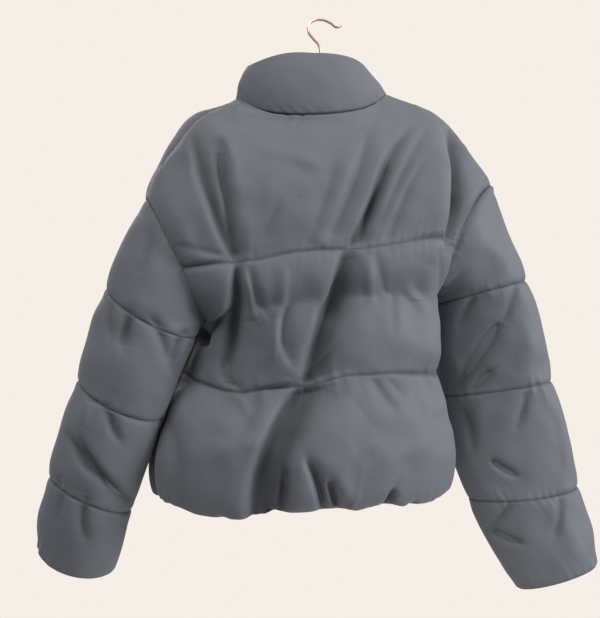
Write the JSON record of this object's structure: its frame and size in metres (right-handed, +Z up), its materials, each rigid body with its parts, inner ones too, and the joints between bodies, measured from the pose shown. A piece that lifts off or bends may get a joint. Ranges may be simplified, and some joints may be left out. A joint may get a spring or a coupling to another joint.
{
  "type": "puffer jacket on a hanger",
  "caption": "Short padded jacket with a stand collar, wide quilted channels, long sleeves and a full-length front zip, hanging on a wire hanger.",
  "frame": {"origin": "under the top of the hanger's hook, where a rail touches it", "axes": "+Z up, +Y towards the jacket's back, +X towards the wearer's left"},
  "size_m": [0.8549, 0.2654, 0.87],
  "materials": {
    "shell": "smooth satin polyester, slate grey",
    "tape": "woven zip tape",
    "metal": "grey plated zip metal",
    "wire": "rose-gold plated wire"
  },
  "bodies": {
    "jacket": {"back": "shell", "front_right": "shell", "front_left": "shell", "sleeve_left": "shell", "sleeve_right": "shell", "collar": "shell", "zip_tape_right": "tape", "zip_tape_left": "tape", "zip_slider": "metal", "hanger": "wire"},
    "pull": {"zip_pull": "metal"}
  },
  "joints": [
    {"name": "pull_swing", "type": "hinge", "parent": "jacket", "child": "pull", "pos_m": [0.0184, -0.06451, -0.09359], "axis": [-1, 0, 0], "range_deg": [0, 150]}
  ]
}
